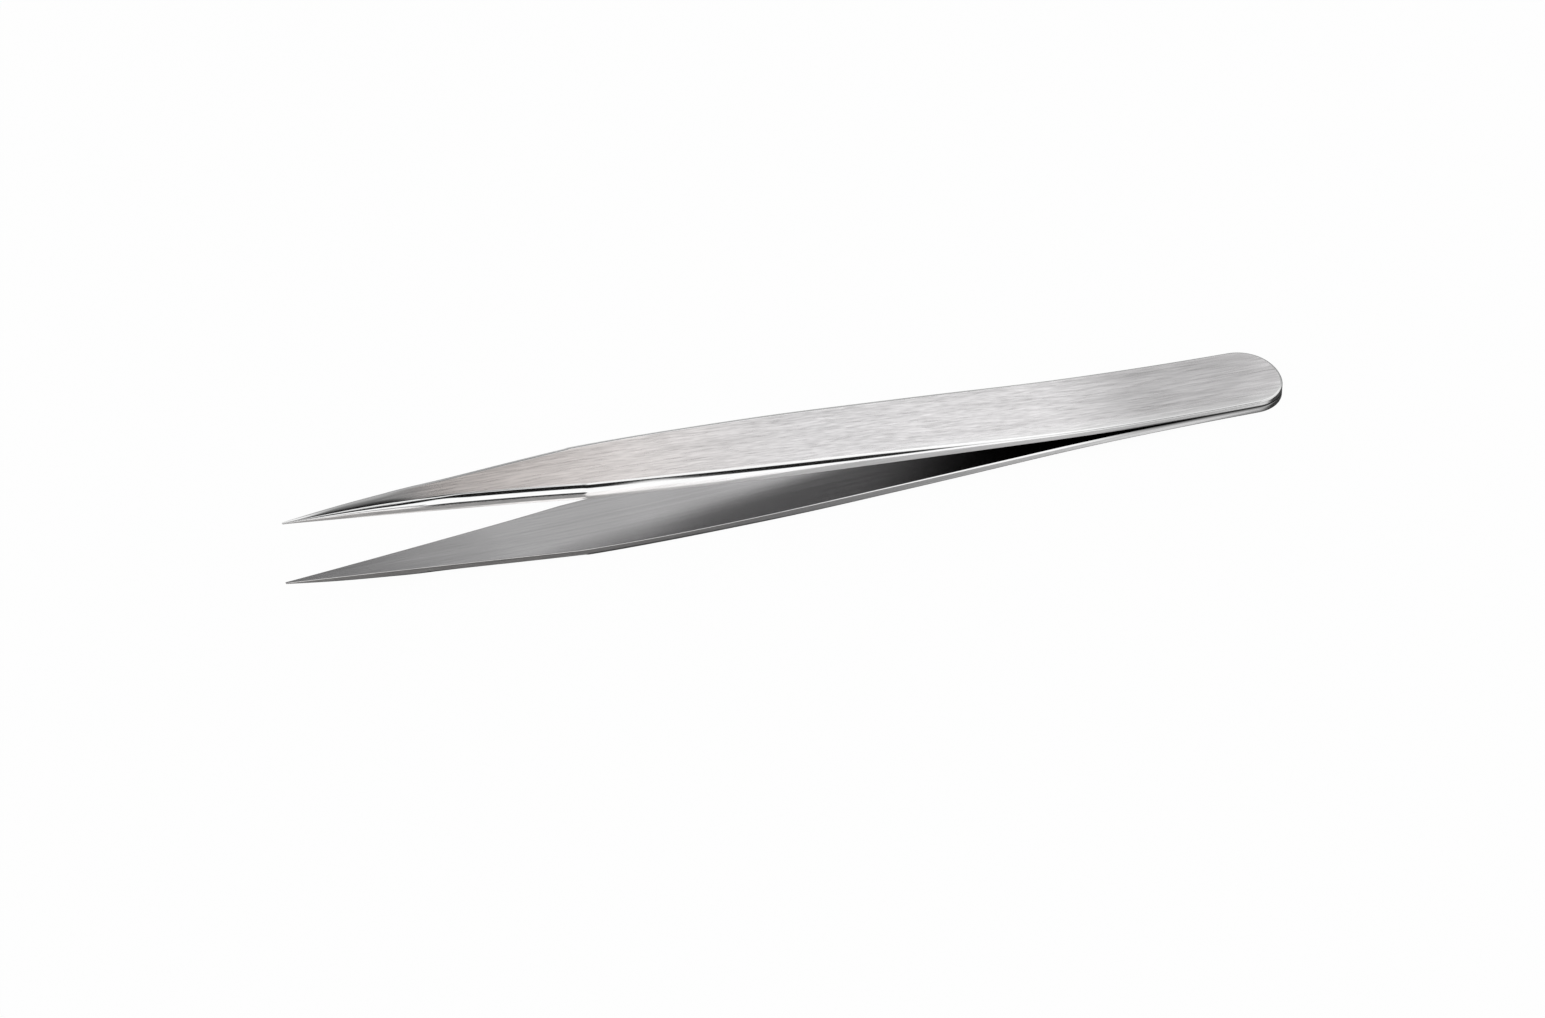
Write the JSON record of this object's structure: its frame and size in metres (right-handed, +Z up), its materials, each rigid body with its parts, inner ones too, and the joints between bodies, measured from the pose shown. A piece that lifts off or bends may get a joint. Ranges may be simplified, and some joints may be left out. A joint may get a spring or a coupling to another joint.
{
  "type": "biology tweezers",
  "caption": "Slim steel tweezers with long tapered fine points and sprung blades joined face to face at a rounded heel, for picking up small specimens.",
  "frame": {"origin": "centre of the underside of the box round the tweezers as they lie on a flat surface", "axes": "+X along the tweezers from the points to the heel, +Y across their width, +Z up from the surface they lie on"},
  "size_m": [0.11, 0.0102, 0.0102],
  "materials": {
    "blade_steel": "brushed along the length, polished edges"
  },
  "bodies": {
    "root": {"upper_arm": "blade_steel", "lower_arm": "blade_steel"}
  },
  "joints": []
}
